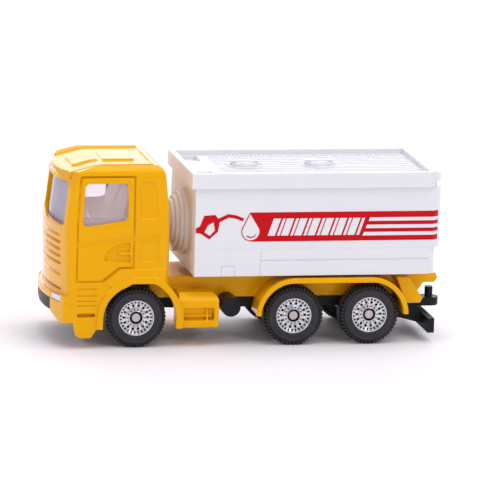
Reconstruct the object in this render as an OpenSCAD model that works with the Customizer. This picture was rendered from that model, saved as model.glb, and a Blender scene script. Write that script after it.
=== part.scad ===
// Toy tanker truck with a cast cab and chassis, a plastic tank and three turning axles.
// Millimetres. +X is the rear, +Y the right-hand side, +Z up, Z = 0 the ground.

/* [Cab] */
// Length of the cab, bumper to rear wall
cab_len = 23.3; // [19:0.1:28]
// Width over the doors
cab_w = 26; // [21.6:0.1:31.2]
// Height of the roof above the deck
cab_rise = 23; // [20:0.1:28]
// Height of the door windows' lower edge above the deck
belt_rise = 11.2; // [9:0.1:13]
// Thickness of the cast walls
wall = 1.2; // [0.9:0.05:1.6]
// How far the front bulges forward at the middle
nose_bulge = 2.5; // [1:0.1:3.5]
// Height of the bumper's lower edge above the ground
bumper_clear = 5.2; // [4:0.1:6]
// Thickness of the clear moulding
glass_t = 0.6; // [0.4:0.05:0.9]

/* [Chassis] */
// Front of the bumper to the front axle
front_overhang = 17; // [15:0.1:19]
// Gap between cab and tank wall
tank_gap = 4.8; // [3:0.1:8]
// Middle axle to rear axle, less one tyre diameter
bogie_gap = 3.4; // [2.4:0.1:5]
// Rear axle to the tank's rear corners
rear_overhang = 13.1; // [10:0.1:18]
// Tank's rear corners to the end of the hitch
hitch_reach = 3.7; // [3:0.1:6]
// Width over the frame rails
frame_w = 14; // [11:0.1:14.4]
// Thickness of each frame rail
rail_t = 1.8; // [1.2:0.1:2.4]
// Width over the front fenders and mudguards
fender_w = 27; // [25.5:0.1:33]
// Thickness of fenders and mudguards
fender_t = 1; // [0.8:0.05:1.3]
// Gap between each side box and the bogie's mudguard, which leaves room for an air tank
side_box_gap = 7.4; // [5:0.1:9]
// Radius of the air tank
air_tank_r = 1.9; // [1.4:0.05:2.2]

/* [Tank] */
// Length of the tank's side walls
tank_len = 48.6; // [40:0.1:60]
// Width of the tank
tank_w = 25.6; // [22:0.1:31]
// Height of the tank, floor to coaming top
tank_h = 20.4; // [17:0.1:26]
// Height of the coaming that stands above the wall
coaming_h = 3; // [2:0.1:4]
// Thickness of the tank's walls
tank_t = 1.1; // [0.8:0.05:1.5]
// Bulge of the rear wall
dome_bulge = 2; // [1:0.1:3]
// Radius of the stepped drum on the front wall
drum_r = 6.6; // [4:0.1:7.5]
// Diameter of a manlid
manlid_d = 4.9; // [3:0.1:7]

/* [Wheels] */
// Tyre diameter
tyre_d = 11.8; // [9.8:0.1:14.2]
// Tyre width
tyre_w = 4.2; // [3:0.1:4.8]
// Rim diameter
rim_d = 7.1; // [6:0.1:8]
// Axle diameter
axle_d = 1.8; // [1.4:0.05:2.2]
// Radial clearance of the axles in their bearings
axle_fit = 0.06; // [0.03:0.01:0.1]
// Gap between a tyre and its arch
arch_gap = 0.8; // [0.5:0.1:1.2]

/* [Hitch] */
// Diameter of the tow pin
tow_pin_d = 1.6; // [1.2:0.1:2]
// Free length of the tow pin above the tongue
tow_pin_len = 2; // [1.5:0.1:3]

/* [Hidden] */
$fn = 48;

yellow = [0.95, 0.68, 0.03];
black = [0.06, 0.06, 0.07];
white = [0.93, 0.93, 0.95];
silver = [0.78, 0.78, 0.8];

seat = 0.05;          // play between pieces that are pushed together
eps = 0.01;

// Heights
tyre_r = tyre_d / 2;
axle_z = tyre_r;
arch_r = tyre_r + arch_gap;
guard_r = arch_r + fender_t;
rail_top = axle_z + guard_r - 0.6;
rail_bottom = rail_top - 4.3;
plate_z = rail_bottom - 2;
deck_z = rail_top + 1.1;
roof_z = deck_z + cab_rise - 1.1;
belt_z = deck_z + belt_rise - 1.1;

// Places along the truck, front to rear
total_len = cab_len + tank_gap + tank_len + hitch_reach;
front_x = -total_len / 2;
cab_back = front_x + cab_len;
tank_front = cab_back + tank_gap;
tank_back = tank_front + tank_len;
hitch_x = tank_back + hitch_reach;
front_axle_x = front_x + front_overhang;
rear_axle_x = tank_back - rear_overhang;
middle_axle_x = rear_axle_x - tyre_d - bogie_gap;
tail_x = tank_back + 1.8;

// Widths, each from the middle plane
cab_y = cab_w / 2;
fender_y = fender_w / 2;
rail_y = frame_w / 2;
tyre_out = fender_y - 0.9;
tyre_in = tyre_out - tyre_w;
bay_y = tyre_in - 0.4;          // inner wall of each wheel bay

// Cab heights and setbacks
crease_z = belt_z - 3.2;
cab_floor = rail_top - 0.1;
sill_z = bumper_clear;
front_lean = 6.6;
nose_lean = -2;
brow_lean = [22, 40, 58];       // three steps that round the brow over the windscreen
brow_x = [1.75, 2.05, 2.6];
brow_drop = [3.1, 2.65, 2.1];
nose_r = (pow(cab_y, 2) + pow(nose_bulge, 2)) / (2 * nose_bulge);
roof_r = 2.4;
nose_corner = 1.6;
back_corner = 1.5;

// Rounded outline: every corner becomes an arc of radius r, or of r[i]
function unit(v) = v / norm(v);
function arc_at(a, b, c, r, n) =
    let (u = unit(a - b), v = unit(c - b), half = acos(u * v) / 2,
         p = b + u * r / tan(half), q = b + v * r / tan(half),
         m = b + unit(u + v) * r / sin(half),
         a0 = atan2(p.y - m.y, p.x - m.x), a1 = atan2(q.y - m.y, q.x - m.x),
         turn = (a1 - a0 + 540) % 360 - 180)
    [for (k = [0:n]) m + r * [cos(a0 + turn * k / n), sin(a0 + turn * k / n)]];
function rounded(p, r, n = 5) =
    [for (i = [0:len(p) - 1])
        let (ri = is_list(r) ? r[i] : r)
        each (ri == 0 ? [p[i]]
              : arc_at(p[(i + len(p) - 1) % len(p)], p[i], p[(i + 1) % len(p)], ri, n))];

// Outline in the X-Z plane, drawn out from y0 to y1
module side_prism(points, y0, y1)
    translate([0, y1, 0]) rotate([90, 0, 0]) linear_extrude(y1 - y0) polygon(points);

// Outline in the Y-Z plane, drawn out from x0 to x1
module end_prism(points, x0, x1)
    translate([x0, 0, 0]) rotate([90, 0, 90]) linear_extrude(x1 - x0) polygon(points);

module both_sides() {
    children();
    mirror([0, 1, 0]) children();
}

// Plan of the bowed nose with its rounded corners, the foremost point at x = 0
function nose_plan(inset) =
    let (h = cab_y - inset, r = nose_r - inset, a = asin((h - 3) / r))
    rounded([[60, -h], [nose_r - sqrt(r * r - h * h), -h],
             each [for (k = [-4:4]) [nose_r - r * cos(a * k / 4), r * sin(a * k / 4)]],
             [nose_r - sqrt(r * r - h * h), h], [60, h]],
            [0, nose_corner, 0, 0, 0, 0, 0, 0, 0, 0, 0, nose_corner, 0]);

// Front face of the cab: an upright bow that leans back by some degrees through a point of the nose
module nose_prism(lean, inset, x = 0.5, z = belt_z)
    translate([front_x + x, 0, z]) rotate([0, lean, 0])
        translate([0, 0, -40]) linear_extrude(80) polygon(nose_plan(inset));

// The cab's outer form, or with an inset the form of its inside
module cab_form(inset, low) {
    side = [[front_x - 5, low], [cab_back - inset, low],
            [cab_back - inset, crease_z], [cab_back - 0.5 - inset, belt_z + 4],
            [cab_back - 1.3 - inset, roof_z - inset], [front_x + 9, roof_z - inset],
            [front_x - 1, roof_z - 2.7 - inset]];
    end = [[-cab_y + inset, low], [cab_y - inset, low], [cab_y - inset, belt_z - 0.5],
           [cab_y - 0.7 - inset, roof_z - inset], [-cab_y + 0.7 + inset, roof_z - inset],
           [-cab_y + inset, belt_z - 0.5]];
    intersection() {
        side_prism(rounded(side, [0, 0, 6, 6, 2, 8, 0]), -cab_y, cab_y);
        end_prism(rounded(end, [0, 0, 6, roof_r, roof_r, 6]), front_x - 5, cab_back);
        nose_prism(front_lean, inset);
        nose_prism(nose_lean, inset);
        for (i = [0:2])
            nose_prism(brow_lean[i], inset, brow_x[i], roof_z - brow_drop[i]);
        linear_extrude(60) polygon(rounded([
            [front_x - 5, -cab_y + inset], [cab_back - inset, -cab_y + inset],
            [cab_back - inset, cab_y - inset], [front_x - 5, cab_y - inset]],
            [0, back_corner, back_corner, 0]));
    }
}

side_window = [[front_x + 5.9, belt_z - 0.1], [front_x + 14.8, belt_z + 1.2],
               [front_x + 14.8, roof_z - 3.4], [front_x + 6.4, roof_z - 3.4]];
windscreen = [[-cab_y + 1.9, belt_z - 0.2], [cab_y - 1.9, belt_z - 0.2],
              [cab_y - 2.3, roof_z - 3.4], [-cab_y + 2.3, roof_z - 3.4]];

// Wheel opening of the front fender, and the same grown by t: flat on top and wider behind the wheel
arch_back = arch_r + 1;
function front_arch(t) =
    [[front_axle_x - arch_r - t, -1],
     each [for (a = [180:-10:110]) [front_axle_x + (arch_r + t) * cos(a),
                                    axle_z + (arch_r + t) * sin(a)]],
     [front_axle_x - 1, axle_z + arch_r + 0.3 + t], [front_axle_x + 3, axle_z + arch_r + 0.3 + t],
     each [for (a = [60:-10:0]) [front_axle_x + (arch_back + t) * cos(a),
                                 axle_z + (arch_back + t) * sin(a)]],
     [front_axle_x + arch_back + t, -1]];

grille_low = axle_z + 5.2;
louvre_low = grille_low + 3.4;
grille_high = belt_z - 1.3;
grille_y = cab_y - 3.4;
slats = 6;
door_x = [front_x + 4.9, front_x + 16.1];
door_low = axle_z + 7.4;
fender_crest = door_low + 2.7;
seam = 0.36;                    // width and depth of the moulded seams
lamp_y = cab_y - 3.6;
lamp_w = 4;
lamp_h = 1.2;
plate_y = 7;                    // half width of the black panel in the bumper
plate_depth = 4.2;
plate_low = plate_z;            // the panel grows out of the underbody's pan
plate_high = plate_low + 2.3;
lamp_z = plate_high + 0.2 + lamp_h / 2;
bumper_top = lamp_z + 0.7;

module headlamp_cut(y, play)
    translate([front_x - 1, y - lamp_w / 2 - play, lamp_z - lamp_h / 2 - play])
        cube([4.4, lamp_w + 2 * play, lamp_h + 2 * play]);

module cab_shell() {
    difference() {
        union() {
            cab_form(0, sill_z);
            // bumper, a little proud of the nose
            intersection() {
                translate([nose_r + front_x, 0, bumper_clear])
                    cylinder(r = nose_r, h = bumper_top - bumper_clear, $fn = 96);
                translate([front_x - 1, -cab_y, 0]) cube([6, cab_w, 40]);
            }
        }
        cab_form(wall, cab_floor + wall);
        // under the floor the cab is open for the wheels, the rails and the underbody
        intersection() {
            cab_form(wall, -1);
            translate([front_x, -cab_y, 0]) cube([cab_len, cab_w, cab_floor]);
        }
        translate([cab_back - 4, -bay_y, 0]) cube([5, 2 * bay_y, cab_floor]);
        both_sides() side_prism(rounded(side_window, 0.9), cab_y - 3, cab_y + 1);
        end_prism(rounded(windscreen, 1.2), front_x - 1, front_x + 4.4);
        both_sides() side_prism(front_arch(0), bay_y, cab_y + 1);
        // grille, with its slats left standing
        difference() {
            intersection() {
                translate([front_x - 1, -grille_y, grille_low])
                    cube([4, 2 * grille_y, grille_high - grille_low]);
                difference() {
                    nose_prism(nose_lean, -1);
                    nose_prism(nose_lean, 0.5);
                }
            }
            for (k = [1:slats - 1])
                translate([front_x - 1, -grille_y - 1,
                           louvre_low + (grille_high - louvre_low) * k / slats - 0.5])
                    cube([5, 2 * grille_y + 2, 0.8]);
            translate([front_x - 1, -grille_y - 1, grille_low + 0.5])
                cube([5, 2 * grille_y + 2, louvre_low - grille_low - 1]);
        }
        for (s = [-1, 1]) headlamp_cut(s * lamp_y, seat);
        // notch in the bumper for the black panel
        translate([front_x - 1, -plate_y - seat, bumper_clear - 1])
            cube([plate_depth + 1 + seat, 2 * (plate_y + seat), plate_high + seat - bumper_clear + 1]);
        // the bumper's lower edge rises towards the middle
        end_prism([[-cab_y + 2.2, 0], [-cab_y + 2.2, bumper_clear], [-plate_y, plate_low],
                   [plate_y, plate_low], [cab_y - 2.2, bumper_clear], [cab_y - 2.2, 0]],
                  front_x - 1, front_x + 3);
        both_sides() side_details();
        roof_channels();
    }
    both_sides() {
        translate([door_x[1] - 3.2, cab_y - 0.7, crease_z - 2.4]) cube([3, 0.7, 0.5]);
        // marker lamps moulded on the corners of the bumper
        side_prism(rounded([[front_x + 3, lamp_z - 0.9], [front_x + 4.5, lamp_z - 0.9],
                            [front_x + 4.5, lamp_z + 0.9], [front_x + 3, lamp_z + 0.9]], 0.4),
                   cab_y - 0.6, cab_y + 0.25);
    }
}

// What is left of a cut when it may only go a given depth under the cab's skin
module skin_deep(depth) difference() {
    children();
    cab_form(depth, -1);
}

// Outline of the door: its rear lower corner gives way to the fender
function door_outline(t) =
    [[door_x[0] - t, door_low - t], [door_x[0] + 5 + t / 2, door_low - t],
     [door_x[0] + 8.4 + t / 2, fender_crest - t], [door_x[1] + t, fender_crest - t],
     [door_x[1] + t, roof_z - 2.1 + t], [door_x[0] + 0.6 - t, roof_z - 2.1 + t],
     [door_x[0] - t, belt_z]];

module ring(outer, inner) difference() {
    polygon(outer);
    polygon(inner);
}

module side_details() {
    skin_deep(seam) {
        translate([0, cab_y + 1, 0]) rotate([90, 0, 0]) linear_extrude(4)
            ring(rounded(door_outline(seam / 2), 0.3), rounded(door_outline(-seam / 2), 0.3));
        side_prism([[door_x[1] - seam / 2, axle_z + arch_r], [door_x[1] + seam / 2, axle_z + arch_r],
                    [door_x[1] + seam / 2, fender_crest], [door_x[1] - seam / 2, fender_crest]],
                   cab_y - 2, cab_y + 1);
    }
    // thin frame line round the window
    skin_deep(0.22) translate([0, cab_y + 1, 0]) rotate([90, 0, 0]) linear_extrude(4)
        ring(rounded(grown(side_window, 0.85), 1.5), rounded(grown(side_window, 0.6), 1.3));
    // swage along the door and the panel behind it
    skin_deep(0.2) side_prism([[door_x[0], crease_z - 0.9], [cab_back - 2, crease_z + 0.9],
                               [cab_back - 2, crease_z + 1.7], [door_x[0], crease_z + 0.1]],
                              cab_y - 2, cab_y + 1);
    // two panels between the door and the rear corner
    skin_deep(0.28) {
        side_prism(rounded([[door_x[1] + 1, belt_z + 1.4], [cab_back - 2.4, belt_z + 1.4],
                            [cab_back - 3.1, roof_z - 3], [door_x[1] + 1, roof_z - 3]], 0.7),
                   cab_y - 3, cab_y + 1);
        side_prism(rounded([[door_x[1] + 1, fender_crest + 1.2], [cab_back - 2.2, fender_crest + 1.2],
                            [cab_back - 2.2, crease_z + 0.5], [door_x[1] + 1, crease_z + 0.2]], 0.7),
                   cab_y - 2, cab_y + 1);
    }
    // handle recess, domed at the front
    skin_deep(0.6) side_prism(
        [[door_x[1] - 5.8, crease_z - 3.6], [door_x[1] - 0.6, crease_z - 3.9],
         each [for (a = [90:15:180]) [door_x[1] - 0.8 + 5 * cos(a), crease_z - 3.5 + 3.5 * sin(a)]]],
        cab_y - 2, cab_y + 1);
    // treads on the step panel, with one deep slot
    for (z = [door_low - 1.5, door_low - 2.8, door_low - 3.9, door_low - 4.8])
        skin_deep(0.3) side_prism([[door_x[0] + 0.2, z - 0.18], [door_x[0] + 4.2, z - 0.18],
                                   [door_x[0] + 4.2, z + 0.18], [door_x[0] + 0.2, z + 0.18]],
                                  cab_y - 2, cab_y + 1);
    skin_deep(0.9) side_prism([[door_x[0] + 0.3, axle_z + 0.4], [door_x[0] + 3.8, axle_z + 0.4],
                               [door_x[0] + 3.8, axle_z + 1.1], [door_x[0] + 0.3, axle_z + 1.1]],
                              cab_y - 2, cab_y + 1);
}

// Outline of a four-cornered shape moved out by t
function grown(p, t) = [p[0] + [-t, -t], p[1] + [t, -t], p[2] + [t, t], p[3] + [-t, t]];

// Shallow channels that leave ribs along the sides of the roof and a hatch in the middle
module roof_channels() {
    ribs = [[4.2, 9.2], [9.9, 10.5]];
    skin_deep(0.35) {
        both_sides() for (y = ribs) translate([front_x + 3.6, y[0], roof_z - 4])
            cube([cab_len - 7, y[1] - y[0], 5]);
        translate([front_x + 3.6, -4.3, roof_z - 4]) cube([1.4, 8.6, 5]);
        translate([front_x + 10, -4.3, roof_z - 4]) cube([1, 8.6, 5]);
        translate([front_x + 17.2, -4.3, roof_z - 4]) cube([2.6, 8.6, 5]);
    }
}

module fenders() both_sides() {
    difference() {
        intersection() {
            union() {
                side_prism(front_arch(fender_t + 0.3), cab_y - wall, fender_y);
                // raised flank above the lip
                side_prism([[front_axle_x - arch_r, door_low], [door_x[0] + 5.4, door_low],
                            [door_x[0] + 8.6, fender_crest - 0.3], [cab_back - 0.8, fender_crest - 0.3],
                            [cab_back - 0.8, axle_z]], cab_y - 1, cab_y + 0.25);
            }
            translate([front_axle_x - 20, 0, axle_z - 2]) cube([40, 30, 40]);
        }
        side_prism(front_arch(0), 0, fender_y + 1);
    }
    // entry steps hang below the sill, ahead of the wheel
    step_back = front_axle_x - arch_r - 1.2;
    side_prism(rounded([[step_back - 4.8, sill_z + 1], [step_back - 4.2, 2.7],
                        [step_back - 3.4, 2.1], [step_back - 1.1, 2.1],
                        [step_back + 0.1, 4], [step_back + 0.3, sill_z + 1]],
                       [0, 0.4, 0.6, 0.6, 0.6, 0]), cab_y - 1.6, cab_y);
}

side_box_x = front_axle_x + arch_back + fender_t - 0.3;
side_box_len = middle_axle_x - guard_r - side_box_gap - side_box_x;

module side_boxes() both_sides() {
    out = cab_y - 0.2;
    back = side_box_x + side_box_len;
    top = rail_bottom + 2;
    difference() {
        intersection() {
            side_prism([[side_box_x, axle_z - 2], [back, axle_z - 2], [back, top - 1],
                        [back - 1, top], [side_box_x, top]], rail_y - eps, out);
            end_prism([[0, 0], [out, 0], [out, top - 1.5], [out - 1.5, top], [0, top]],
                      side_box_x - 1, back + 1);
        }
        side_prism(rounded([[side_box_x + 1, axle_z - 0.6], [back - 0.9, axle_z - 0.6],
                            [back - 0.9, axle_z + 1.9], [side_box_x + 1, axle_z + 1.9]], 0.3),
                   out - 1, cab_y + 1);
        // gutter along the sloping shoulder
        translate([side_box_x + 1.2, out - 0.75, top - 0.75]) rotate([45, 0, 0])
            cube([side_box_len - 2.6, 0.7, 0.7]);
    }
    translate([back - 2.4, out - 1.2, axle_z - 0.8]) cube([0.35, 0.9, 2.9]);
    translate([side_box_x + 0.8, out - 1.2, axle_z + 0.1]) cube([side_box_len - 2, 0.7, 0.35]);
}

// Long arch over both wheels of the bogie, its corners of radius r
module bogie_arch(r, y0, y1) translate([0, y1, axle_z]) rotate([90, 0, 0]) linear_extrude(y1 - y0) {
    for (x = [middle_axle_x, rear_axle_x]) translate([x, 0]) circle(r, $fn = 64);
    translate([middle_axle_x, 0]) square([rear_axle_x - middle_axle_x, r]);
}

// One guard over both wheels, standing out from the rail, with a lip along its edge
module mudguards() both_sides() difference() {
    union() {
        bogie_arch(guard_r - 0.25, rail_y - eps, fender_y);
        bogie_arch(guard_r, fender_y - 1.2, fender_y);
    }
    bogie_arch(arch_r, rail_y - 1, fender_y + 1);
    translate([middle_axle_x - 20, rail_y - 1, -20])
        cube([rear_axle_x - middle_axle_x + 40, 30, axle_z + 20.2]);
}

bracket_x = rear_axle_x + arch_r - 1;
tank_pegs = [tank_front + 6, tank_back - 6];
peg_r = 1.5;
rivet_r = 1.2;
front_rivet_x = front_axle_x + 5;
rear_rivet_x = rear_axle_x + 6;

module rails() {
    tail = [[cab_back - 3, rail_bottom], [tail_x - 4.5, rail_bottom],
            [tail_x - 2.8, rail_top - 1.9], [tail_x - 0.6, rail_top - 1.9],
            [tail_x, rail_top - 1], [tail_x - 0.4, rail_top], [cab_back - 3, rail_top]];
    both_sides() side_prism(tail, rail_y - rail_t, rail_y);
    difference() {
        union() {
            translate([cab_back - 3, -rail_y + eps, rail_top - 1])
                cube([tail_x - 3 - cab_back + 3, frame_w - 2 * eps, 1]);
            // pads that carry the tank
            for (x = tank_pegs)
                translate([x - 3, -rail_y + 1, rail_top - eps]) cube([6, frame_w - 2, 1.1 + eps]);
            // bosses that take the rivets
            for (x = [front_rivet_x, rear_rivet_x])
                translate([x, 0, rail_bottom]) cylinder(r = rivet_r + 1.3, h = rail_top - rail_bottom);
        }
        for (x = tank_pegs)
            translate([x, 0, rail_top - 2]) cylinder(r = peg_r + seat, h = 5);
        for (x = [front_rivet_x, rear_rivet_x])
            translate([x, 0, rail_bottom - 1]) cylinder(r = rivet_r, h = 3);
    }
}

module rear_brackets() both_sides()
    side_prism([[bracket_x, rail_top - eps], [bracket_x + 2.6, rail_top - eps],
                [bracket_x + 5.4, rail_bottom], [bracket_x + 5, rail_bottom - 1],
                [bracket_x + 2, rail_bottom - 1]], rail_y - eps, rail_y + 3.5);

module body_casting() color(yellow) {
    cab_shell();
    difference() {
        union() {
            fenders();
            side_boxes();
        }
        both_sides() side_prism(front_arch(0), bay_y, fender_y + 1);
    }
    mudguards();
    rails();
    rear_brackets();
}

// Clear moulding pushed up into the roof
module cab_glazing() color([0.82, 0.82, 0.88, 0.4]) intersection() {
    difference() {
        cab_form(wall + seat, belt_z - 1.6);
        cab_form(wall + seat + glass_t, belt_z - 2);
    }
    translate([front_x, -cab_y, belt_z - 1.6]) cube([cab_len - 6.5, cab_w, 40]);
}

seat_x = front_x + 12.4;
inner_y = cab_y - wall - glass_t - 4 * seat;

module cab_interior() color(white) {
    floor_z = cab_floor + wall;
    base_z = belt_z - 2.6;
    // floor tub, with the cushions and the dashboard on it
    translate([front_x + 5, -inner_y + 0.6, floor_z])
        cube([cab_len - 5 - 2 * wall, 2 * inner_y - 1.2, 1]);
    for (s = [-1, 1]) translate([0, s * inner_y / 2, 0]) {
        translate([seat_x - 3.6, -inner_y / 2 + 1, floor_z]) cube([6.6, inner_y - 2, base_z - floor_z]);
        side_prism(rounded([[seat_x, base_z - 1], [seat_x + 3, base_z - 1],
                            [seat_x + 5.2, roof_z - 5.4], [seat_x + 3.4, roof_z - 5]],
                           [0, 0, 0.7, 0.7]), -inner_y / 2 + 1, inner_y / 2 - 1);
    }
    side_prism(rounded([[front_x + 5, floor_z], [front_x + 7.4, floor_z], [front_x + 7.8, belt_z + 0.6],
                        [front_x + 5, belt_z + 1]], [0, 0, 0.5, 0.5]), -inner_y + 1.4, inner_y - 1.4);
    // stub of the steering column, on the driver's side
    translate([front_x + 7.5, -inner_y / 2, belt_z - 0.6]) rotate([0, 65, 0]) cylinder(r = 0.5, h = 1.2);
}

module steering_wheel() color(white)
    translate([front_x + 7.5, -inner_y / 2, belt_z - 0.6]) rotate([0, 65, 0]) {
        translate([0, 0, 1.2]) {
            rotate_extrude() translate([1.9, 0.3]) circle(r = 0.3, $fn = 16);
            cylinder(r = 0.6, h = 0.6);
            for (a = [0, 120, 240]) rotate(a) translate([0, -0.25, 0.05]) cube([1.8, 0.5, 0.5]);
        }
    }

module headlamp(side) color([0.85, 0.83, 0.9])
    intersection() {
        headlamp_cut(side * lamp_y, 0);
        translate([nose_r + front_x, 0, 0]) cylinder(r = nose_r - 0.1, h = 40, $fn = 96);
    }
module headlamp_left() headlamp(-1);
module headlamp_right() headlamp(1);

axles_x = [front_axle_x, middle_axle_x, rear_axle_x];
lug_r = axle_d / 2 + 1;
bar_x = tank_back - 1;
tongue_z = rail_bottom - 2.7;
air_tank_x = side_box_x + side_box_len + 2.5;
air_tank_z = axle_z + 1.9;

module underbody() color(black) difference() {
    union() {
        // pan between the wheels, up against the frame rails
        translate([front_x + 3.2, -rail_y + 0.2, plate_z])
            cube([tank_back - 3 - front_x - 3.2, frame_w - 0.4, 2]);
        // panel that fills the notch in the bumper
        intersection() {
            translate([front_x - 1, -plate_y, plate_low])
                cube([plate_depth + 1, 2 * plate_y, plate_high - plate_low]);
            translate([nose_r + front_x + 0.2, 0, 0]) cylinder(r = nose_r, h = 40, $fn = 96);
        }
        // bearings of the axles
        for (x = axles_x) both_sides() {
            translate([x, rail_y - 0.2, axle_z]) rotate([90, 0, 0]) cylinder(r = lug_r, h = 2.4);
            translate([x - lug_r, rail_y - 2.6, axle_z]) cube([2 * lug_r, 2.4, plate_z - axle_z + 1]);
        }
        // tow tongue
        side_prism(rounded([[tank_back - 6, plate_z + 1.5], [tank_back - 4, tongue_z - 0.8],
                            [hitch_x - 2, tongue_z - 0.8], [hitch_x - 2, tongue_z + 0.8],
                            [tank_back - 2.4, tongue_z + 0.8], [tank_back - 3.4, plate_z + 1.5]],
                           [0, 0.6, 0, 0, 0.4, 0]), -1.9, 1.9);
        translate([hitch_x - 1.9, 0, tongue_z - 0.8]) cylinder(r = 1.9, h = 1.6);
        translate([hitch_x - 1.9, 0, tongue_z]) cylinder(d = tow_pin_d, h = 0.8 + tow_pin_len);
        // air tanks, on stubs that pass under the rails
        both_sides() {
            translate([air_tank_x, cab_y - 0.6, air_tank_z]) rotate([90, 0, 0])
                cylinder(r = air_tank_r, h = cab_y - 0.6 - rail_y);
            translate([air_tank_x - air_tank_r + 0.6, rail_y - 1, plate_z])
                cube([2 * air_tank_r - 1.2, 1.5, rail_bottom - plate_z]);
        }
        // underrun bar on two arms
        translate([bar_x, -cab_y + 1.4, 1.9]) cube([1.3, cab_w - 2.8, 2.9]);
        both_sides() side_prism([[bar_x - 6.8, plate_z + 0.4], [bar_x - 6.6, 4.4], [bar_x + 0.3, 2.6],
                                 [bar_x + 0.3, 4.6], [bar_x - 2.2, plate_z + 0.4]],
                                rail_y - 2.6, rail_y - 0.8);
    }
    for (x = axles_x)
        translate([x, rail_y + 1, axle_z]) rotate([90, 0, 0])
            cylinder(r = axle_d / 2 + axle_fit, h = frame_w + 2);
    for (x = [front_rivet_x, rear_rivet_x])
        translate([x, 0, plate_z - 1]) cylinder(r = rivet_r + seat, h = 4);
}

// Side outline of the tank's section: skirt, straight flank, shoulder
tank_top_z = deck_z + tank_h;
wall_top = tank_top_z - coaming_h;
function tank_section(i) =
    let (y = tank_w / 2 - i)
    [[-y, 0], [y, 0], [y, wall_top - 4], [y - 0.7, wall_top + 1], [-y + 0.7, wall_top + 1],
     [-y, wall_top - 4]];

// Plan outline from x0 to x1, half as wide as h, its rear edge a shallow arc that bulges by b
function bowed_plan(x0, x1, h, b) =
    let (r = (h * h + b * b) / (2 * b), a = asin((h - 1.2) / r))
    [[x0, -h], [x1 - 1.2, -h],
     each [for (k = [-6:6]) [x1 + b - r + r * cos(a * k / 6), r * sin(a * k / 6)]],
     [x1 - 1.2, h], [x0, h]];
function tank_plan(i, reach) =
    bowed_plan(tank_front + i, tank_back + reach - i, tank_w / 2 - i, dome_bulge);

// The tank's form, or with an inset i the form of its hollow: the rear wall steps in under the skirt line
skirt_top = deck_z + 5.2;
module tank_form(i, low) intersection() {
    end_prism(tank_section(i), tank_front - 1, tank_back + 5);
    union() {
        translate([0, 0, max(low, skirt_top - i)]) linear_extrude(60) polygon(tank_plan(i, 0.2));
        if (low < skirt_top)
            translate([0, 0, low]) linear_extrude(skirt_top - low) polygon(tank_plan(i, -0.7));
    }
}

// Moulded lines on the skirt: a locker at the front, a valance towards the rear
module skirt_lines() translate([0, tank_w / 2 + 0.05, 0]) {
    translate([tank_front + 13, 0, deck_z - 1]) cube([0.25, 1, skirt_top - deck_z + 0.6]);
    translate([tank_front + 13, 0, deck_z + 3]) cube([tank_len, 1, 0.25]);
    for (x = [5.3, 7.9]) translate([tank_front + x, 0, deck_z - 1]) cube([0.2, 1, 3]);
    translate([tank_front + 5.3, 0, deck_z + 1.9]) cube([2.8, 1, 0.2]);
}

module tank_shell() color(white) {
    difference() {
        union() {
            difference() {
                tank_form(0, deck_z);
                translate([tank_front - 2, -40, wall_top]) cube([tank_len + 10, 80, 40]);
            }
            // skirt round the foot of the tank
            intersection() {
                translate([0, 0, deck_z]) linear_extrude(skirt_top - deck_z) polygon(tank_plan(-0.2, -0.8));
                translate([tank_front, -tank_w, 0]) cube([tank_len - 0.4, 2 * tank_w, 40]);
            }
        }
        tank_form(tank_t, deck_z + tank_t);
        both_sides() skirt_lines();
    }
    // stepped drum on the front wall
    for (k = [0:4])
        translate([tank_front - 0.75 * (k + 1), 0, deck_z + 8.6]) rotate([0, 90, 0])
            cylinder(r = drum_r - 0.75 * k, h = 0.75 + eps);
    translate([tank_front - 2, 0, deck_z + 8.6 - drum_r * 0.8]) rotate([0, 90, 0]) cylinder(r = 0.8, h = 2);
    for (x = tank_pegs)
        translate([x, 0, rail_top - 0.9]) cylinder(r = peg_r, h = deck_z + 0.5 - rail_top + 0.9);
}

manlid_x = [tank_front + 12, tank_front + 27];

// Coaming and walkway, pressed into the open top of the shell
module tank_top() color(white) {
    difference() {
        translate([0, 0, wall_top]) linear_extrude(coaming_h)
            polygon(bowed_plan(tank_front - 0.8, tank_back - 0.5, tank_w / 2 + 0.2, 0.7 * dome_bulge));
        translate([tank_front + 0.4, -tank_w / 2 + 1, tank_top_z - 1])
            cube([tank_len - 2.1, tank_w - 2, 2]);
        // recesses at the front corners of the walkway
        both_sides() translate([tank_front + 0.5, tank_w / 2 - 7.5, tank_top_z - 1.8]) cube([4, 6, 3]);
    }
    difference() {
        tank_form(tank_t + seat, wall_top - 2);
        tank_form(2 * tank_t + seat, wall_top - 3);
        translate([tank_front - 2, -40, wall_top + 0.4]) cube([tank_len + 10, 80, 40]);
    }
    // hand-holds at the rear corners
    both_sides() translate([tank_back - 1.2, tank_w / 2 - 1.2, tank_top_z - 1.9])
        cube([1.5, 0.8, 1.8]);
    for (x = manlid_x) translate([x, 0, tank_top_z - 1 - eps]) {
        cylinder(d = manlid_d, h = 0.7);
        cylinder(d = manlid_d - 1.2, h = 0.95);
        translate([manlid_d / 2 - 0.3, -0.6, 0]) cube([1.2, 1.2, 0.7]);
    }
}

module rivet(x) color(silver) {
    translate([x, 0, plate_z - 0.5]) cylinder(r = rivet_r, h = rail_bottom + 2 - plate_z + 0.5);
    translate([x, 0, plate_z - 0.7]) cylinder(r1 = rivet_r + 0.3, r2 = rivet_r + 0.7, h = 0.7);
}
module front_rivet() rivet(front_rivet_x);
module rear_rivet() rivet(rear_rivet_x);

module axle(x) color(silver) translate([x, 0, axle_z]) rotate([90, 0, 0]) {
    cylinder(d = axle_d, h = 2 * tyre_out - 0.8, center = true);
}
module front_axle() axle(front_axle_x);
module middle_axle() axle(middle_axle_x);
module rear_axle() axle(rear_axle_x);

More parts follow.
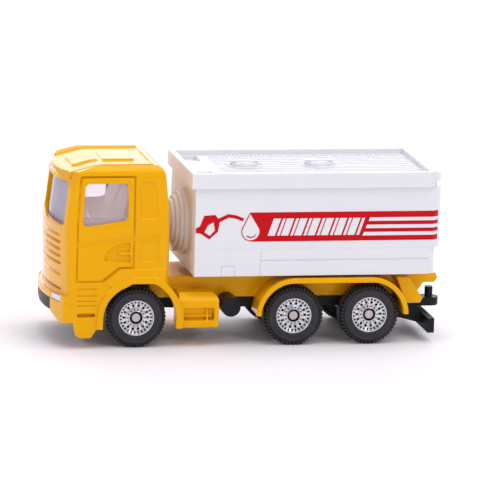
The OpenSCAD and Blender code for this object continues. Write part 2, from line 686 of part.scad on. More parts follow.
// Wheel turned about Z, outer face towards +Z at z = 0
module rim_shape() difference() {
    rotate_extrude($fn = 64) polygon([
        [axle_d / 2, -tyre_w + 0.6], [rim_d / 2 - 0.6, -tyre_w + 0.6], [rim_d / 2 - 0.4, -tyre_w],
        [rim_d / 2, -tyre_w], [rim_d / 2, -0.25], [rim_d / 2 - 0.35, -0.25], [rim_d / 2 - 0.6, -0.9],
        [rim_d / 2 - 1.5, -1.2], [axle_d / 2 + 1, -0.9], [axle_d / 2 + 0.75, -0.55],
        [axle_d / 2, -0.55]]);
    for (k = [0:13]) rotate(k * 360 / 14)
        translate([rim_d / 2 - 1.15, 0, -1.6]) cylinder(r = 0.22, h = 3, $fn = 16);
}

module tyre_shape() difference() {
    rotate_extrude($fn = 96) polygon(rounded([
        [rim_d / 2, -tyre_w + 0.15], [tyre_r - 0.9, -tyre_w], [tyre_r, -tyre_w + 0.8],
        [tyre_r, -0.8], [tyre_r - 0.9, 0], [rim_d / 2, -0.15]], [0, 0.4, 0.3, 0.3, 0.4, 0]));
    for (z = [0.32, 0.5, 0.68])
        translate([0, 0, -tyre_w * z - 0.15]) difference() {
            cylinder(r = tyre_r + 1, h = 0.3);
            translate([0, 0, -1]) cylinder(r = tyre_r - 0.35, h = 3, $fn = 96);
        }
}

// Stands a wheel part on its axle, its outer face out; side -1 is the left
module on_axle(x, side)
    translate([x, side * tyre_out, axle_z]) rotate([-side * 90, 0, 0]) children();

module rim(x, side) color(silver) on_axle(x, side) rim_shape();
module tyre(x, side) color(black) on_axle(x, side) tyre_shape();

module front_left_rim() rim(front_axle_x, -1);
module front_right_rim() rim(front_axle_x, 1);
module middle_left_rim() rim(middle_axle_x, -1);
module middle_right_rim() rim(middle_axle_x, 1);
module rear_left_rim() rim(rear_axle_x, -1);
module rear_right_rim() rim(rear_axle_x, 1);
module front_left_tyre() tyre(front_axle_x, -1);
module front_right_tyre() tyre(front_axle_x, 1);
module middle_left_tyre() tyre(middle_axle_x, -1);
module middle_right_tyre() tyre(middle_axle_x, 1);
module rear_left_tyre() tyre(rear_axle_x, -1);
module rear_right_tyre() tyre(rear_axle_x, 1);

body_casting();
cab_glazing();
cab_interior();
steering_wheel();
headlamp_left();
headlamp_right();
underbody();
tank_shell();
tank_top();
front_rivet();
rear_rivet();
front_axle();
middle_axle();
rear_axle();
front_left_rim();
front_right_rim();
middle_left_rim();
middle_right_rim();
rear_left_rim();
rear_right_rim();
front_left_tyre();
front_right_tyre();
middle_left_tyre();
middle_right_tyre();
rear_left_tyre();
rear_right_tyre();
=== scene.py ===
import bpy
from math import atan2, cos, hypot, pi, radians, sin
from mathutils import Matrix, Vector


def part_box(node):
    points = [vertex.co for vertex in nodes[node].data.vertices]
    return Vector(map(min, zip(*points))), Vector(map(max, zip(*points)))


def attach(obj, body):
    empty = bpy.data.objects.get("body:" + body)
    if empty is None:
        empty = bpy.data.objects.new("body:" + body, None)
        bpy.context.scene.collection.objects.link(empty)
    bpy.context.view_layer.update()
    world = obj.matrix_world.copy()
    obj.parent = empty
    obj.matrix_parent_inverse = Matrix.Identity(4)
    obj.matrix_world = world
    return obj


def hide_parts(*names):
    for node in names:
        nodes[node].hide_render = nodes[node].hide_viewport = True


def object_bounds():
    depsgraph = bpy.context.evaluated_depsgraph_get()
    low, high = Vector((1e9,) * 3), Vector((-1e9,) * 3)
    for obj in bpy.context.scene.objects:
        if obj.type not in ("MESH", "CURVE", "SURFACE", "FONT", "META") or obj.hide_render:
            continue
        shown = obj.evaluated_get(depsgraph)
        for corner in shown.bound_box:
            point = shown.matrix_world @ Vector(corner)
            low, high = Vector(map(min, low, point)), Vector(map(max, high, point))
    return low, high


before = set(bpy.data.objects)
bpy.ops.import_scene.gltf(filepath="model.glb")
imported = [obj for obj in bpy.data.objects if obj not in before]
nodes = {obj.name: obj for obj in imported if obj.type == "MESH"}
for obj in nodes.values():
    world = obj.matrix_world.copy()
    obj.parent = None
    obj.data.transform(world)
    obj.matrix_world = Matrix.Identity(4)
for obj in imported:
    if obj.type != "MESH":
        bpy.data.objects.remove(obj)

cad_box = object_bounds()


# ---------------------------------------------------------------- table top, lamps and camera
# The toy stands on a pale table under a bright cloth, with two small soft boxes in front for its
# highlights, in a dim violet-white room. A long lens looks at its left side from a little ahead.
mm = 0.001


class Wire:
    """An output of one of a finish's nodes. Arithmetic on it adds Math nodes."""

    def __init__(self, tree, socket):
        self.tree, self.socket = tree, socket

    def node(self, kind, settings, inputs, out=0):
        """A new node with its settings made and its inputs set or linked; its output."""
        new = self.tree.nodes.new(kind)
        for key, value in settings.items():
            setattr(new, key, value)
        for key, value in inputs.items():
            if isinstance(value, Wire):
                self.tree.links.new(value.socket, new.inputs[key])
            else:
                new.inputs[key].default_value = value
        return Wire(self.tree, new.outputs[out])

    def maths(self, operation, *values):
        return self.node("ShaderNodeMath", {"operation": operation}, dict(enumerate(values)))

    def __add__(self, other):
        return self.maths("ADD", self, other)

    def __sub__(self, other):
        return self.maths("SUBTRACT", self, other)

    def __rsub__(self, other):
        return self.maths("SUBTRACT", other, self)

    def __mul__(self, other):
        return self.maths("MULTIPLY", self, other)

    __radd__ = __add__
    __rmul__ = __mul__

    def noise(self, size_mm, detail=3):
        """Cloudy noise, 0 to 1, whose lumps are about size_mm across."""
        return self.node("ShaderNodeTexNoise", {}, {"Vector": self, "Scale": 1000 / size_mm,
                                                    "Detail": detail})

    def mixed(self, first, second):
        """The first colour where this is 0, the second where it is 1."""
        return self.node("ShaderNodeMix", {"data_type": "RGBA"},
                         {0: self, 6: (*first, 1), 7: (*second, 1)}, out=2)

    def bumped(self, height_mm):
        """This as a relief height_mm deep."""
        return self.node("ShaderNodeBump", {}, {"Height": self, "Distance": height_mm * mm,
                                                "Strength": 1.0})


def finish(name):
    """A new material, its Object coordinates, and a way to set its shader's inputs."""
    material = bpy.data.materials.new(name)
    material.use_nodes = True
    tree = material.node_tree
    shader = tree.nodes["Principled BSDF"]
    place = Wire(tree, tree.nodes.new("ShaderNodeTexCoord").outputs["Object"])

    def feed(**inputs):
        for key, value in inputs.items():
            socket = shader.inputs[key.replace("_", " ")]
            if isinstance(value, Wire):
                tree.links.new(value.socket, socket)
            else:
                socket.default_value = value
    return material, place, feed


table_paint, place, feed = finish("table_paint")
feed(Base_Color=place.noise(60, 2).mixed((0.9, 0.9, 0.915), (0.915, 0.915, 0.93)),
     Roughness=0.75, Specular_IOR_Level=0.2)
table_size = 6
bpy.ops.object.select_all(action="DESELECT")
bpy.ops.mesh.primitive_plane_add(size=table_size)
table = bpy.context.object
table.name = "table"
table.data.materials.append(table_paint)

room = bpy.data.worlds.new("white_room")
bpy.context.scene.world = room
room.use_nodes = True
room.node_tree.nodes["Background"].inputs["Color"].default_value = (0.9, 0.87, 1.0, 1)
room.node_tree.nodes["Background"].inputs["Strength"].default_value = 0.6


aim = Vector((0, 0, 0.018))


def lamp(name, kind, place, energy, **settings):
    """A lamp aimed at the middle of the toy from that place."""
    bulb = bpy.data.objects.new(name, bpy.data.lights.new(name, kind))
    bpy.context.scene.collection.objects.link(bulb)
    bulb.data.energy, bulb.visible_camera = energy, False
    for key, value in settings.items():
        setattr(bulb.data, key, value)
    bulb.location = place
    bulb.rotation_euler = (aim - bulb.location).to_track_quat("-Z", "Y").to_euler()


lamp("overhead_cloth", "SUN", (0.3, -0.08, 1), 1.5, angle=radians(62),
     color=(1, 0.985, 0.96))
lamp("back_cloth", "AREA", (0.1, 1.3, 0.75), 9, size=1.4)
lamp("left_box", "AREA", (-0.5, -0.3, 0.42), 0.62, size=0.045)
lamp("right_box", "AREA", (0.28, -0.6, 0.36), 0.4, size=0.045)

bpy.context.scene.view_settings.view_transform = "Standard"

turn, tilt, roll = radians(-12), radians(11.7), radians(1.8)
lens, shift_left, shift_up = 379.6, 0.43 * mm, 0.57 * mm
back = Vector((sin(turn) * cos(tilt), -cos(turn) * cos(tilt), sin(tilt)))
right = Vector((cos(turn), sin(turn), 0))
up = back.cross(right)
middle = (Vector(cad_box[0]) + Vector(cad_box[1])) / 2
camera = bpy.data.objects.new("camera", bpy.data.cameras.new("camera"))
bpy.context.scene.collection.objects.link(camera)
camera.data.lens = lens
camera.data.clip_end = 20
tilted_right = right * cos(roll) + up * sin(roll)
tilted_up = up * cos(roll) - right * sin(roll)
stand = middle + back - right * shift_left + up * shift_up
camera.matrix_world = Matrix([*zip(tilted_right, tilted_up, back, stand), (0, 0, 0, 1)])
bpy.context.scene.camera = camera


# ---------------------------------------------------------------- cab and chassis casting
# One zinc casting: cab, fenders, side boxes, rails and mudguards. Thick yellow enamel rounds every
# edge and half fills the moulded seams, so the raw form is skinned over, eased and thinned out.
def alone(name, mesh):
    """A new object of that mesh, the only one selected."""
    bpy.ops.object.select_all(action="DESELECT")
    piece = bpy.data.objects.new(name, mesh)
    bpy.context.scene.collection.objects.link(piece)
    piece.select_set(True)
    bpy.context.view_layer.objects.active = piece
    return piece


def cad_copy(name, node):
    """A merged copy of a CAD node, without its flat shading."""
    piece = alone(name, nodes[node].data.copy())
    piece.data.materials.clear()
    bpy.ops.mesh.customdata_custom_splitnormals_clear()
    bpy.ops.object.mode_set(mode="EDIT")
    bpy.ops.mesh.select_all(action="SELECT")
    bpy.ops.mesh.remove_doubles(threshold=2e-6)
    bpy.ops.object.mode_set(mode="OBJECT")
    return piece


def applied(piece, kind, **settings):
    """A modifier put on the piece and applied."""
    modifier = piece.modifiers.new(kind.lower(), kind)
    for key, value in settings.items():
        setattr(modifier, key, value)
    bpy.ops.object.modifier_apply(modifier=modifier.name)


def fitted(piece, material, body, slot, *stood_for):
    """The finished piece gets its material, rides on its body and hides its CAD node; slot is not
    used.
    """
    if not piece.data.materials:
        piece.data.materials.append(material)
    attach(piece, body)
    if stood_for:
        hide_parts(*stood_for)


yellow_enamel, place, feed = finish("yellow_enamel")
# Painted shade: where ambient occlusion finds seams and crevices, the yellow darkens to a dark
# amber; the slow noise is the paint's own uneven tone.
open_to_light = place.node("ShaderNodeAmbientOcclusion", {"samples": 8},
                           {"Distance": 0.6 * mm}, out=1)
unshaded_by_seams = place.node("ShaderNodeMapRange", {}, {0: open_to_light, 1: 0.35, 2: 0.8})
unshaded_paint_and_tone = unshaded_by_seams * (0.92 + 0.08 * place.noise(9, 2))
feed(Base_Color=unshaded_paint_and_tone.mixed((0.3, 0.1, 0.001), (0.88, 0.42, 0.001)),
     Roughness=0.13 + 0.06 * place.noise(2.5), Specular_IOR_Level=0.8,
     Specular_Tint=(1, 0.66, 0.07, 1), Coat_Weight=0.1, Coat_Roughness=0.03,
     Normal=place.noise(1.8, 1).bumped(0.012))

skin_voxel, most_triangles = 0.15 * mm, 190000
casting = cad_copy("cab_and_chassis", "body_casting")
applied(casting, "REMESH", mode="VOXEL", voxel_size=skin_voxel)
applied(casting, "SMOOTH", factor=0.5, iterations=4)
applied(casting, "DECIMATE", ratio=most_triangles / (2 * len(casting.data.polygons)))
bpy.ops.object.shade_smooth()
fitted(casting, yellow_enamel, "chassis", "yellow_paint", "body_casting")


# ---------------------------------------------------------------- cab glazing
# One clear styrene moulding pushed up into the roof: windscreen and both door windows in one piece,
# faintly violet, with a soft flow pattern in it.
def bevelled(piece, edge, sharper_than):
    """Edges sharper than that many degrees are broken by edge mm."""
    applied(piece, "BEVEL", width=edge * mm, segments=2, limit_method="ANGLE",
            angle_limit=radians(sharper_than), use_clamp_overlap=True, loop_slide=False)


def crisp(name, node, edge=0.1, angle=41):
    """A copy of a CAD node with its edges broken by edge mm, as a mould leaves them."""
    piece = cad_copy(name, node)
    if edge:
        bpy.ops.object.mode_set(mode="EDIT")
        bpy.ops.mesh.select_all(action="SELECT")
        bpy.ops.mesh.dissolve_limited(angle_limit=radians(0.5))
        bpy.ops.object.mode_set(mode="OBJECT")
        bevelled(piece, edge, 42)
    bpy.ops.object.shade_smooth_by_angle(angle=radians(angle))
    if edge:
        applied(piece, "WEIGHTED_NORMAL", keep_sharp=True, weight=60)
    return piece


clear_styrene, place, feed = finish("clear_styrene")
feed(Base_Color=place.noise(3, 1).mixed((0.7, 0.68, 0.76), (0.76, 0.74, 0.82)), Roughness=0.06,
     Normal=place.noise(6, 1).bumped(0.05))
tree = place.tree
gloss = Wire(tree, tree.nodes["Principled BSDF"].outputs[0])
through = place.node("ShaderNodeBsdfTransparent", {}, {"Color": (0.99, 0.965, 0.975, 1)})
shine = place.node("ShaderNodeFresnel", {}, {"IOR": 1.5})
both = place.node("ShaderNodeMixShader", {}, {0: shine * 1.2 + 0.02, 1: through, 2: gloss})
tree.links.new(both.socket, tree.nodes["Material Output"].inputs["Surface"])

glazing = crisp("cab_windows", "cab_glazing", edge=0, angle=40)
fitted(glazing, clear_styrene, "chassis", "clear_plastic", "cab_glazing")


# ---------------------------------------------------------------- cab interior and steering wheel
# A pale polystyrene tub with two seats and a dashboard, and a steering wheel pushed onto its stub.
glowing_pale_styrene, place, feed = finish("glowing_pale_styrene")
# Painted light: a faint pinkish emission makes this plastic glow, standing for light falling into
# the cab.
feed(Base_Color=place.noise(5, 2).mixed((0.88, 0.8, 0.78), (0.92, 0.86, 0.84)),
     Emission_Color=(1, 0.86, 0.84, 1), Emission_Strength=0.15,
     Roughness=0.42 + 0.1 * place.noise(1.2),
     Normal=place.noise(0.5).bumped(0.015))


def added_block(x, y, z):
    """A block inside the x, y and z spans, in mm, joined to what is being built in edit mode."""
    bpy.ops.mesh.select_all(action="DESELECT")
    spans = (x, y, z)
    bpy.ops.mesh.primitive_cube_add(size=1, location=[sum(s) / 2 * mm for s in spans],
                                    scale=[(s[1] - s[0]) * mm for s in spans])


def begun(name):
    """A new empty piece, in edit mode."""
    piece = alone(name, bpy.data.meshes.new(name))
    bpy.ops.object.mode_set(mode="EDIT")
    return piece


def ended(piece, edge):
    """The piece out of edit mode, with its edges broken by edge mm."""
    bpy.ops.object.mode_set(mode="OBJECT")
    bevelled(piece, edge, 35)
    bpy.ops.object.shade_smooth_by_angle(angle=radians(30))


interior = crisp("seats_and_dash", "cab_interior", edge=0.3)
fitted(interior, glowing_pale_styrene, "chassis", "pale_plastic", "cab_interior")

# door cards of the same moulding, standing just inside the windows
cards = begun("door_cards")
inner_low, inner_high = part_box("cab_interior")
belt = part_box("cab_glazing")[0].z / mm + 1.6
card_thick, card_below, card_above = 0.7, 7, 1.3
for y in (-10.9, 10.2):
    added_block((inner_low.x / mm + 1, inner_high.x / mm - 0.8), (y, y + card_thick),
                (belt - card_below, belt + card_above))
ended(cards, 0.3)
fitted(cards, glowing_pale_styrene, "chassis", "pale_plastic")

wheel = crisp("steering_wheel_turned", "steering_wheel", edge=0, angle=50)
fitted(wheel, glowing_pale_styrene, "chassis", "pale_plastic", "steering_wheel")


# ---------------------------------------------------------------- headlamps
# Two small lenses of lilac-white plastic, fluted inside, set into the bumper.
lamp_lens, place, feed = finish("lamp_lens")
flutes = place.node("ShaderNodeTexWave", {"bands_direction": "Y"},
                    {"Vector": place, "Scale": 600.0, "Distortion": 0.0})
feed(Base_Color=flutes.mixed((0.66, 0.62, 0.78), (0.85, 0.84, 0.92)), Roughness=0.16,
     Coat_Weight=0.6, Normal=flutes.bumped(0.04))
for side in ("left", "right"):
    lens = crisp("lamp_" + side, "headlamp_" + side, edge=0.12)
    fitted(lens, lamp_lens, "chassis", "lamp_plastic", "headlamp_" + side)


# ---------------------------------------------------------------- underbody
# Black polypropylene base plate with the axle bearings, air tanks, tow tongue, underrun bar and the
# panel in the bumper, riveted to the casting. Satin, with a faint sparked mould texture.
black_plastic, place, feed = finish("black_plastic")
feed(Base_Color=place.noise(4, 2).mixed((0.006, 0.006, 0.008), (0.012, 0.012, 0.014)),
     Roughness=0.34 + 0.14 * place.noise(0.8), Specular_IOR_Level=0.2,
     Normal=place.noise(0.3, 1).bumped(0.008))
underbody = crisp("base_plate", "underbody", edge=0.16)
fitted(underbody, black_plastic, "chassis", "black_plastic", "underbody")

# stiffening ribs under the plate, between the axles
ribs = begun("base_plate_ribs")
front_axle, middle_axle = (sum(corner.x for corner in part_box(end + "_axle")) / 2 / mm
                           for end in ("front", "middle"))
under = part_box("front_rivet")[0].z / mm + 0.7
rib_from, rib_to = front_axle + 8, middle_axle - 3.2
rib_half, side_rib_y, cross_ribs = 0.3, 4.6, 6
rib_rise, keel_rise, rib_root = under - 0.5, under - 0.8, under + 0.1
for y in (-side_rib_y, side_rib_y):
    added_block((rib_from, rib_to), (y - rib_half, y + rib_half), (rib_rise, rib_root))
for k in range(cross_ribs):
    x = rib_from + (rib_to - rib_from) * k / (cross_ribs - 1)
    added_block((x - rib_half, x + rib_half), (-4.9, 4.9), (rib_rise, rib_root))
added_block((rib_from, rib_to), (-1.3, 1.3), (keel_rise, rib_root))
ended(ribs, 0.12)
fitted(ribs, black_plastic, "chassis", "black_plastic")


# ---------------------------------------------------------------- rivets
# Two posts of the casting are spun over under the base plate, bare zinc with turning marks.
bare_zinc, place, feed = finish("bare_zinc")
feed(Base_Color=place.noise(0.8).mixed((0.42, 0.42, 0.43), (0.6, 0.6, 0.6)), Metallic=0.85,
     Roughness=0.38 + 0.15 * place.noise(0.5), Normal=place.noise(0.3).bumped(0.02))
for end in ("front", "rear"):
    rivet = crisp(end + "_rivet_head", end + "_rivet", edge=0.2)
    fitted(rivet, bare_zinc, "chassis", "zinc", end + "_rivet")


# ---------------------------------------------------------------- tank shell
# White polystyrene, a little translucent, moulded as a box open at the top: flat sides, a bowed
# rear wall, the stepped drum in front and a skirt with moulded lines.
white_styrene, place, feed = finish("white_styrene")
feed(Base_Color=place.noise(12, 2).mixed((0.79, 0.79, 0.8), (0.83, 0.83, 0.84)),
     Roughness=0.34 + 0.08 * place.noise(3), Specular_IOR_Level=0.35,
     Subsurface_Weight=0.25, Subsurface_Radius=(1.0, 0.8, 0.7), Subsurface_Scale=0.9 * mm,
     Normal=place.noise(2.2, 2).bumped(0.012))
tank = crisp("tank", "tank_shell", edge=0.14)
fitted(tank, white_styrene, "chassis", "white_plastic", "tank_shell")

# a moulded ladder up the bowed rear wall
wall_low, wall_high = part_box("tank_shell")
hindmost = wall_high.x / mm
ladder_foot, ladder_head = wall_low.z / mm + 6.6, wall_high.z / mm - 1.4
rail_y, rungs, rung_margin = 2.1, 7, 0.9
ladder = begun("rear_ladder")
for y in (-rail_y, rail_y):
    added_block((hindmost - 0.5, hindmost + 0.35), (y - 0.25, y + 0.25),
                (ladder_foot, ladder_head))
for k in range(rungs):
    z = (ladder_foot + rung_margin
         + (ladder_head - ladder_foot - 2 * rung_margin) * k / (rungs - 1))
    added_block((hindmost - 0.5, hindmost + 0.2), (-rail_y, rail_y), (z - 0.17, z + 0.17))
ended(ladder, 0.1)
fitted(ladder, white_styrene, "chassis", "white_plastic")


# ---------------------------------------------------------------- tank top with its walkway
# The coaming and the deck are one white moulding. Fine planks run along the deck, two ribbed
# walkways lie along the coaming, and each manlid has a clamp bar, four lugs and a hoop.
tank_top = crisp("coaming_and_deck", "tank_top", edge=0.14)
fitted(tank_top, white_styrene, "chassis", "white_plastic", "tank_top")

top_low, top_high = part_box("tank_top")
deck = top_high.z / mm - 1.0
deck_front, deck_rear = top_low.x / mm + 1.6, top_high.x / mm - 3.2
plank_gap, walkway_y, walkway_half, tread_pitch = 1.7, 10.2, 0.95, 0.85
treads = begun("deck_treads")
for side in (-1, 1):
    for k in range(5):
        y = side * (1.1 + plank_gap * k)
        added_block((deck_front + 5.5, deck_rear), (y - 0.12, y + 0.12),
                    (deck - 0.1, deck + 0.14))
    y = side * walkway_y
    x = deck_front + 6.2
    while x < deck_rear - 0.6:
        added_block((x, x + 0.3), (y - walkway_half, y + walkway_half),
                    (deck - 0.1, deck + 0.22))
        x += tread_pitch
ended(treads, 0.04)
fitted(treads, white_styrene, "chassis", "white_plastic")

# the manlids' clamps: a bar over each lid with a knob, four lugs on its rim and a hoop round it
drum_step, drum_steps = 0.75, 5
lids_back, lug_ring, half_bar = (12, 27), 2.35, 0.35
clamps = begun("manlid_clamps")
wall_front = wall_low.x / mm + drum_step * drum_steps
for lid_x in (wall_front + lid_back for lid_back in lids_back):
    added_block((lid_x - 2.9, lid_x + 2.9), (-half_bar, half_bar), (deck + 0.8, deck + 1.15))
    for k in range(4):
        a = pi / 4 + k * pi / 2
        x, y = lid_x + lug_ring * cos(a), lug_ring * sin(a)
        added_block((x - half_bar, x + half_bar), (y - half_bar, y + half_bar),
                    (deck - 0.1, deck + 0.85))
    bpy.ops.mesh.select_all(action="DESELECT")
    bpy.ops.mesh.primitive_uv_sphere_add(segments=16, ring_count=8, radius=0.75 * mm,
                                         location=(lid_x * mm, 0, (deck + 0.85) * mm),
                                         scale=(1, 1, 0.55))
    bpy.ops.mesh.select_all(action="DESELECT")
    bpy.ops.mesh.primitive_torus_add(major_radius=3.1 * mm, minor_radius=0.22 * mm,
                                     major_segments=40, minor_segments=8,
                                     location=(lid_x * mm, 0, (deck + 0.12) * mm))
ended(clamps, 0.06)
fitted(clamps, white_styrene, "chassis", "white_plastic")


# ---------------------------------------------------------------- printing on the tank's sides
# Pad printed in red: a band that wraps the rear corner with three white lines let into it, a row of
# slanted white bars, a drop, and a filling nozzle. Each colour is a film a few hundredths thick.
tank_y = wall_high.y / mm - 0.2
corner, corner_slope = wall_high.x / mm - 3.2, 1.2 / 1.56
ink_thick = 0.024


def film(name, outlines, lift, side, wrap):
    """Outlines of (x, z) in mm, filled and laid on the tank's side, round the corner if wrap."""
    drawing = bpy.data.curves.new(name, "CURVE")
    drawing.dimensions, drawing.fill_mode, drawing.extrude = "2D", "BOTH", ink_thick / 2 * mm
    for outline in outlines:
        line = drawing.splines.new("POLY")
        line.points.add(len(outline) - 1)
        for point, (x, z) in zip(line.points, outline):
            point.co = (x * mm, z * mm, 0, 1)
        line.use_cyclic_u = True
    alone(name, drawing)
    bpy.ops.object.convert(target="MESH")
    piece = bpy.context.object
    piece.rotation_euler = (pi / 2, 0, 0)
    piece.location = (0, -(tank_y + lift) * mm, 0)
    bpy.ops.object.transform_apply(location=True, rotation=True, scale=True)
    bpy.ops.object.mode_set(mode="EDIT")
    bpy.ops.mesh.select_all(action="SELECT")
    bpy.ops.mesh.remove_doubles(threshold=1e-7)
    if wrap:
        bpy.ops.mesh.bisect(plane_co=(corner * mm, 0, 0), plane_no=(1, 0, 0), threshold=1e-6)
    bpy.ops.object.mode_set(mode="OBJECT")
    for vertex in piece.data.vertices:
        past = vertex.co.x - corner * mm
        if wrap and past > 0:
            vertex.co.y += past * corner_slope
    if side > 0:
        piece.scale = (1, -1, 1)
        bpy.ops.object.transform_apply(location=False, rotation=False, scale=True)
    bpy.ops.object.mode_set(mode="EDIT")
    bpy.ops.mesh.select_all(action="SELECT")
    bpy.ops.mesh.normals_make_consistent(inside=False)
    bpy.ops.object.mode_set(mode="OBJECT")
    return piece


red_ink, place, feed = finish("red_ink")
feed(Base_Color=place.noise(1.5).mixed((0.56, 0.0015, 0.006), (0.61, 0.002, 0.008)),
     Roughness=0.34, Specular_IOR_Level=0.12, Normal=place.noise(0.6).bumped(0.006))
white_ink, place, feed = finish("white_ink")
feed(Base_Color=place.noise(1.5).mixed((0.78, 0.78, 0.79), (0.82, 0.82, 0.83)), Roughness=0.34,
     Normal=place.noise(0.6).bumped(0.006))


def arc(cx, cz, r, a0, a1, steps):
    """Points in equal steps along an arc, its angles in degrees."""
    return [(cx + r * cos(radians(a0 + (a1 - a0) * k / steps)),
             cz + r * sin(radians(a0 + (a1 - a0) * k / steps))) for k in range(steps + 1)]


drop_x, drop_z, drop_r = -1.05, 22.95, 1.75


def drop(t):
    """A falling drop, t mm larger all round than the middle line of its outline."""
    return [(-1.25, 26.55 + 2.2 * t)] + arc(drop_x, drop_z, drop_r + t, 158, 382, 28)


band_low, band_high = 20.95, 26.75
band_end = corner + 1.1
band = [(-1.15, band_high), (band_end, band_high), (band_end, band_low), (-1.0, band_low)]
line_end, line_thick = band_end + 0.3, 0.7
stripes = [[(top_from, z), (line_end, z), (line_end, z - line_thick), (foot_from, z - line_thick)]
           for top_from, foot_from, z in ((22.75, 22.45, 25.55), (22.15, 21.9, 24.1),
                                          (21.6, 21.3, 22.65))]
bar_pitch, bar_lean, bar_top, bar_foot = 2.65, 1.15, 25.5, 22.1
slanted = []
for k in range(7):
    for start, width in ((2.3, 1.45), (4.15, 0.55)):
        x = start + bar_pitch * k
        slanted.append([(x + bar_lean, bar_top), (x + bar_lean + width, bar_top),
                        (x + width, bar_foot), (x, bar_foot)])
nozzle = [(-12.0, 23.7), (-11.2, 24.1), (-10.4, 26.2), (-8.2, 26.35), (-7.6, 25.6),
          (-5.6, 26.5), (-3.9, 26.2), (-2.5, 25.6), (-2.7, 25.0), (-4.1, 25.55), (-5.5, 25.8),
          (-7.3, 24.9), (-7.6, 23.0), (-9.3, 21.5), (-11.1, 22.7), (-12.0, 22.8)]
grip = [(-9.6, 24.3), (-8.5, 24.9), (-8.2, 23.3), (-9.2, 22.2), (-10.3, 22.9)]
glint = arc(drop_x, drop_z, 1.25, 225, 330, 12) + arc(-1.0, 23.1, 1.15, 330, 225, 12)
for side, hand in ((-1, "left"), (1, "right")):
    parts = [("red_band_", [band], 0.02, True, red_ink),
             ("red_nozzle_", [nozzle, grip], 0.02, False, red_ink),
             ("red_drop_", [drop(0.14)], 0.035, False, red_ink),
             ("white_lines_", stripes, 0.05, True, white_ink),
             ("white_bars_", slanted, 0.035, False, white_ink),
             ("white_drop_", [drop(-0.06)], 0.06, False, white_ink),
             ("red_glint_", [glint], 0.085, False, red_ink)]
    for name, outlines, lift, wrap, ink in parts:
        print_film = film(name + hand, outlines, lift, side, wrap)
        fitted(print_film, ink, "chassis", "white_plastic")


# ---------------------------------------------------------------- axles
# Steel wire cut to length and lightly headed at each end, with a warm grey plating.
steel, place, feed = finish("steel")
feed(Base_Color=place.noise(0.7).mixed((0.5, 0.43, 0.41), (0.66, 0.58, 0.55)), Metallic=0.75,
     Roughness=0.3 + 0.2 * place.noise(0.4), Normal=place.noise(0.25).bumped(0.02))
for end in ("front", "middle", "rear"):
    axle = crisp(end + "_axle_steel", end + "_axle", edge=0.28, angle=50)
    fitted(axle, steel, end + "_wheelset", "steel", end + "_axle")


# ---------------------------------------------------------------- rims
# Plated plastic rims: a dished disc with three rings of holes round a raised hub, and a recess
# round the axle's end. The recess and the walls of the holes get the black plastic as painted
# shade. One is turned and pierced, and the six wheels get copies.
plated_plastic, place, feed = finish("plated_plastic")
feed(Base_Color=place.noise(1.1).mixed((0.66, 0.66, 0.67), (0.78, 0.78, 0.79)), Metallic=0.85,
     Roughness=0.17 + 0.12 * place.noise(0.6), Normal=place.noise(0.7).bumped(0.035))


def turned(name, outline, steps):
    """A ring turned about Z through each (radius, height) in mm, ending where it begins."""
    bpy.ops.object.select_all(action="DESELECT")
    (r, z), *onward = outline
    bpy.ops.mesh.primitive_circle_add(vertices=steps, radius=r * mm)
    piece = bpy.context.object
    piece.name = name
    bpy.ops.object.mode_set(mode="EDIT")
    bpy.ops.mesh.select_all(action="SELECT")
    bpy.ops.transform.translate(value=(0, 0, z * mm))
    for wider, higher in onward + [outline[0]]:
        bpy.ops.mesh.extrude_edges_move(TRANSFORM_OT_translate={"value": (0, 0, (higher - z) * mm)})
        bpy.ops.transform.resize(value=(wider / r, wider / r, 1),
                                 center_override=(0, 0, higher * mm))
        r, z = wider, higher
    bpy.ops.mesh.select_all(action="SELECT")
    bpy.ops.mesh.remove_doubles(threshold=1e-6)
    bpy.ops.mesh.normals_make_consistent(inside=False)
    bpy.ops.object.mode_set(mode="OBJECT")
    return piece


def wheel_copies(pattern, part, material, slot):
    """The pattern, turned with its face up at z = 0, copied onto each wheel's CAD node."""
    for end in ("front", "middle", "rear"):
        for side, hand in ((-1, "left"), (1, "right")):
            node = f"{end}_{hand}_{part}"
            low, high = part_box(node.replace("rim", "tyre"))
            piece = alone(node + "_" + slot, pattern.data.copy())
            piece.rotation_euler = (-side * pi / 2, 0, 0)
            piece.location = ((low.x + high.x) / 2, high.y if side > 0 else low.y,
                              (low.z + high.z) / 2)
            bpy.ops.object.transform_apply(location=True, rotation=True, scale=True)
            fitted(piece, material, end + "_wheelset", slot, node)
    bpy.data.objects.remove(pattern)


rim_low, rim_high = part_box("front_left_rim")
rim_r = (rim_high.x - rim_low.x) / 2 / mm
bore_r, hub_r, rim_back = 0.86, 1.25, -4
rim = turned("rim", [(bore_r, rim_back), (rim_r - 0.4, rim_back), (rim_r, rim_back),
                     (rim_r, -0.22), (rim_r - 0.08, -0.12), (rim_r - 0.22, -0.12),
                     (rim_r - 0.3, -0.3), (rim_r - 0.32, -0.62), (rim_r - 0.42, -0.7),
                     (2.72, -0.82), (2.64, -0.92), (2.1, -0.98), (2.0, -0.9), (1.95, -0.72),
                     (1.78, -0.66), (1.5, -0.6), (1.42, -0.42), (1.3, -0.38), (1.22, -0.5),
                     (1.2, -1.3), (bore_r, -1.3)], 72)
rim.data.materials.append(plated_plastic)
rim.data.materials.append(black_plastic)
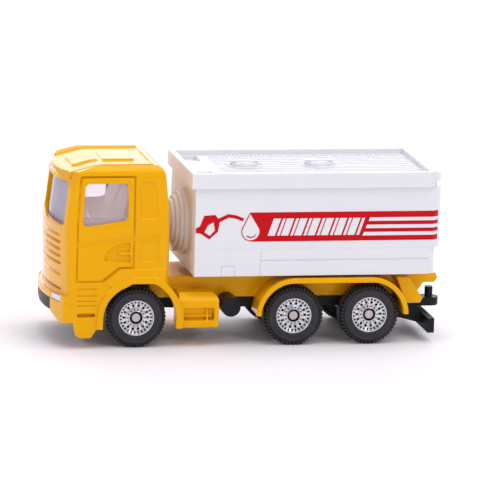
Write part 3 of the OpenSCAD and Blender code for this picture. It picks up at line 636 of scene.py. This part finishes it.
# Painted shade: the faces of the recess round the axle's end get the black plastic.
for face in rim.data.polygons:
    x, y, z = face.center / mm
    if hypot(x, y) < hub_r and z > rim_back / 2:
        face.material_index = 1
cutters = alone("hole_cutters", bpy.data.meshes.new("hole_cutters"))
cutters.data.materials.append(plated_plastic)
cutters.data.materials.append(black_plastic)
bpy.ops.object.mode_set(mode="EDIT")
for count, ring, hole in ((27, 3.0, 0.22), (14, 2.36, 0.28), (14, 1.66, 0.16)):
    for k in range(count):
        a = 2 * pi * k / count
        bpy.ops.mesh.primitive_cylinder_add(vertices=10, radius=hole * mm, depth=2.4 * mm,
                                            location=(ring * cos(a) * mm, ring * sin(a) * mm,
                                                      -0.4 * mm))
bpy.ops.object.mode_set(mode="OBJECT")
# Painted shade: the walls that the cutters leave in the holes get the black plastic.
for face in cutters.data.polygons:
    face.material_index = 1
bpy.ops.object.select_all(action="DESELECT")
rim.select_set(True)
bpy.context.view_layer.objects.active = rim
applied(rim, "BOOLEAN", operation="DIFFERENCE", object=cutters, solver="EXACT")
bpy.data.objects.remove(cutters)
bpy.ops.object.shade_smooth_by_angle(angle=radians(35))
wheel_copies(rim, "rim", plated_plastic, "silver_rim")


# ---------------------------------------------------------------- tyres
# Black rubber-like vinyl with forty-eight blocks on each shoulder, a raised band round the tread
# and a raised bead ring. One is turned, its blocks drawn out, and the six wheels get copies.
tyre_vinyl, place, feed = finish("tyre_vinyl")
feed(Base_Color=place.noise(3, 2).mixed((0.015, 0.014, 0.018), (0.028, 0.027, 0.031)),
     Roughness=0.4 + 0.16 * place.noise(1), Specular_IOR_Level=0.4,
     Normal=place.noise(0.3, 1).bumped(0.01))
tyre_low, tyre_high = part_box("front_left_tyre")
tyre_r = (tyre_high.x - tyre_low.x) / 2 / mm
tyre_w = (tyre_high.y - tyre_low.y) / mm
lug, lugs = 0.32, 48
body_r = tyre_r - lug
bead = rim_r + 0.01
face_side = [(bead, -0.22), (bead + 0.12, -0.14), (4.1, -0.1), (4.2, -0.16), (4.75, -0.14),
             (4.85, -0.06), (5.0, -0.06), (5.08, -0.2)]
shoulder = [(5.14, -0.24), (body_r - 0.12, -0.4), (body_r, -0.66)]
tread = [(body_r, -1.15), (body_r, -1.35)]
half = face_side + shoulder + tread
other = [(r, -tyre_w - z) for r, z in reversed(half)]
tyre = turned("tyre", half + other, 2 * lugs)
tyre.data.materials.append(tyre_vinyl)


def drawn_out(piece, chosen, height):
    """Draws out the faces for which chosen(radius, depth from nearer side, step round) holds."""
    steps = 2 * lugs
    for face in piece.data.polygons:
        x, y, z = face.center / mm
        step = int(atan2(y, x) / (2 * pi) * steps + steps) % steps
        face.select = chosen(hypot(x, y), min(-z, z + tyre_w), step)
    bpy.ops.object.mode_set(mode="EDIT")
    bpy.ops.mesh.extrude_region_shrink_fatten(TRANSFORM_OT_shrink_fatten={"value": height * mm})
    bpy.ops.mesh.select_all(action="DESELECT")
    bpy.ops.object.mode_set(mode="OBJECT")


bpy.ops.object.mode_set(mode="EDIT")
bpy.ops.mesh.select_mode(type="FACE")
bpy.ops.mesh.select_all(action="DESELECT")
bpy.ops.object.mode_set(mode="OBJECT")
drawn_out(tyre, lambda r, depth, k: k % 2 == 0 and r > 5.1 and depth < 1.15, lug)
drawn_out(tyre, lambda r, depth, k: body_r - 0.1 < r < body_r + 0.01 and depth > 1.36, lug)
bpy.ops.object.shade_smooth_by_angle(angle=radians(32))
wheel_copies(tyre, "tyre", tyre_vinyl, "tyre")
